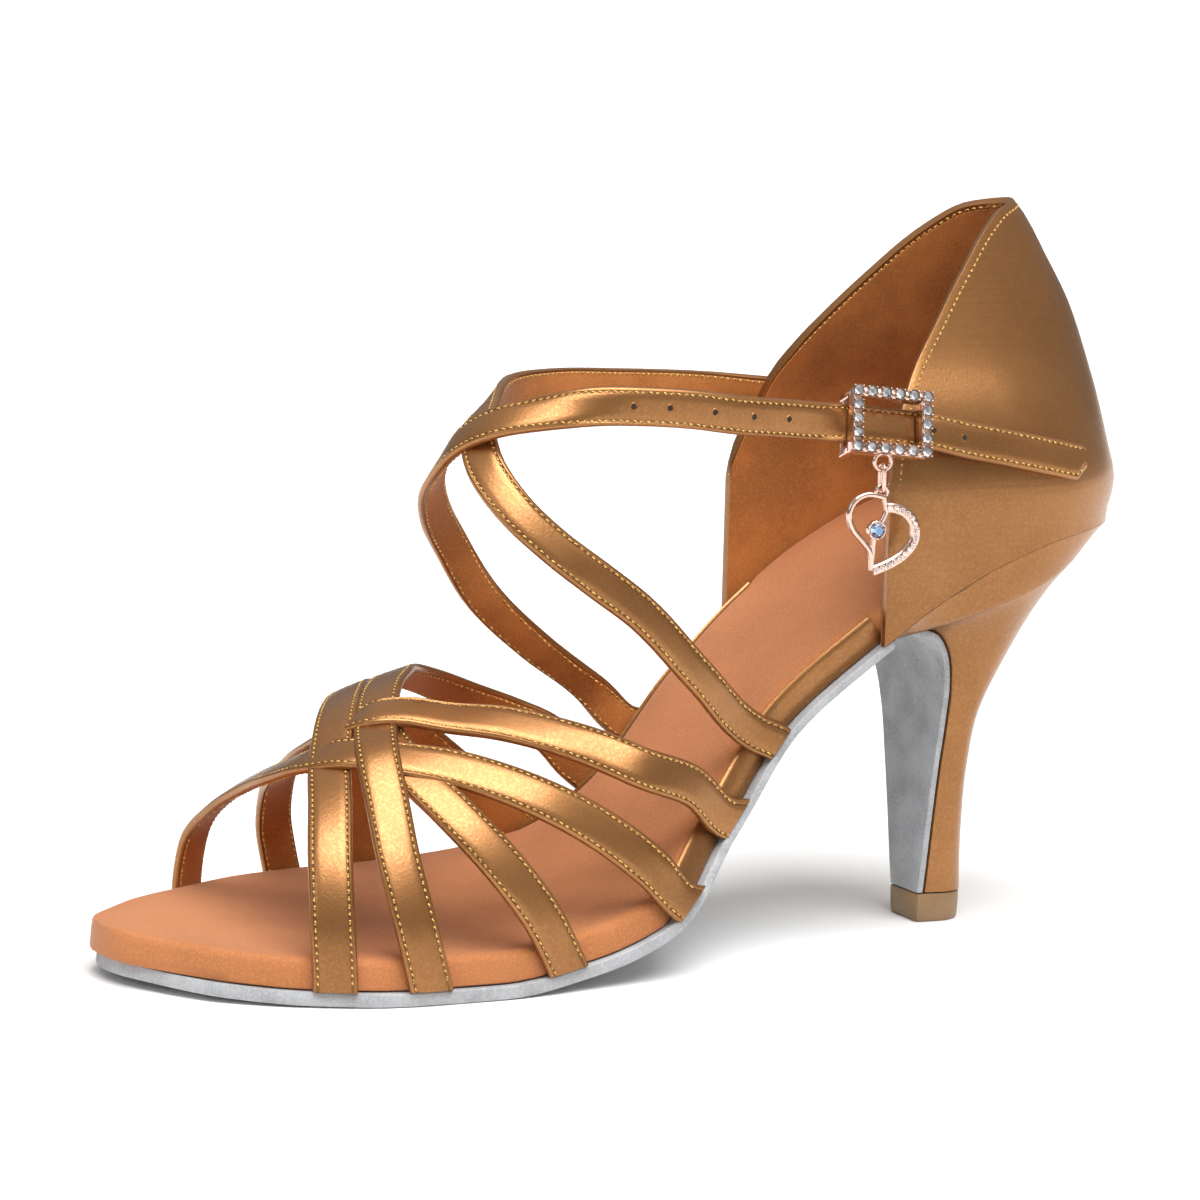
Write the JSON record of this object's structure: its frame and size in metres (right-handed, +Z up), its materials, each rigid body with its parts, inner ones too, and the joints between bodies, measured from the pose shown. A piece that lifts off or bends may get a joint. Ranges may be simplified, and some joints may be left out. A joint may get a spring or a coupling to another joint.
{
  "type": "ballroom dance shoe",
  "caption": "Open-toed dance sandal, left foot: woven straps over the toes, two crossed straps round the instep, closed heel cup, flared heel and a strap buckle with a heart charm.",
  "frame": {"origin": "middle of the floor print's bounding box, on the floor the shoe stands on", "axes": "+X from the toe to the heel, -Y the outer side of the foot, +Z up"},
  "size_m": [0.2064, 0.0884, 0.1404],
  "materials": {
    "insole": "suede",
    "rand_outer": "metallic gold leather",
    "rand_inner": "metallic gold leather",
    "outsole": "grey suede",
    "heel": "metallic gold leather over a hard core",
    "heel_tip": "satin",
    "counter": "metallic gold leather, suede lining",
    "vamp_straps": "metallic gold leather, suede lining",
    "instep_straps": "metallic gold leather, suede lining",
    "buckle": "polished rose gold plating",
    "buckle_tab": "metallic gold leather",
    "charm_link": "polished rose gold plating",
    "charm_heart": "polished rose gold plating"
  },
  "bodies": {
    "shoe": {"insole": "insole", "rand_outer": "rand_outer", "rand_inner": "rand_inner", "outsole": "outsole", "heel": "heel", "heel_tip": "heel_tip", "counter": "counter", "vamp_straps": "vamp_straps", "instep_straps": "instep_straps", "buckle": "buckle", "buckle_tab": "buckle_tab"},
    "link": {"charm_link": "charm_link"},
    "heart": {"charm_heart": "charm_heart"}
  },
  "joints": [
    {"name": "link_swing", "type": "hinge", "parent": "shoe", "child": "link", "pos_m": [0.0375, -0.03451, 0.09205], "axis": [-0.9907, 0.1357, 0], "range_deg": [0, 60]},
    {"name": "heart_swing", "type": "hinge", "parent": "link", "child": "heart", "pos_m": [0.0375, -0.03451, 0.08815], "axis": [-0.1357, -0.9907, 0], "range_deg": [-35, 35]}
  ]
}
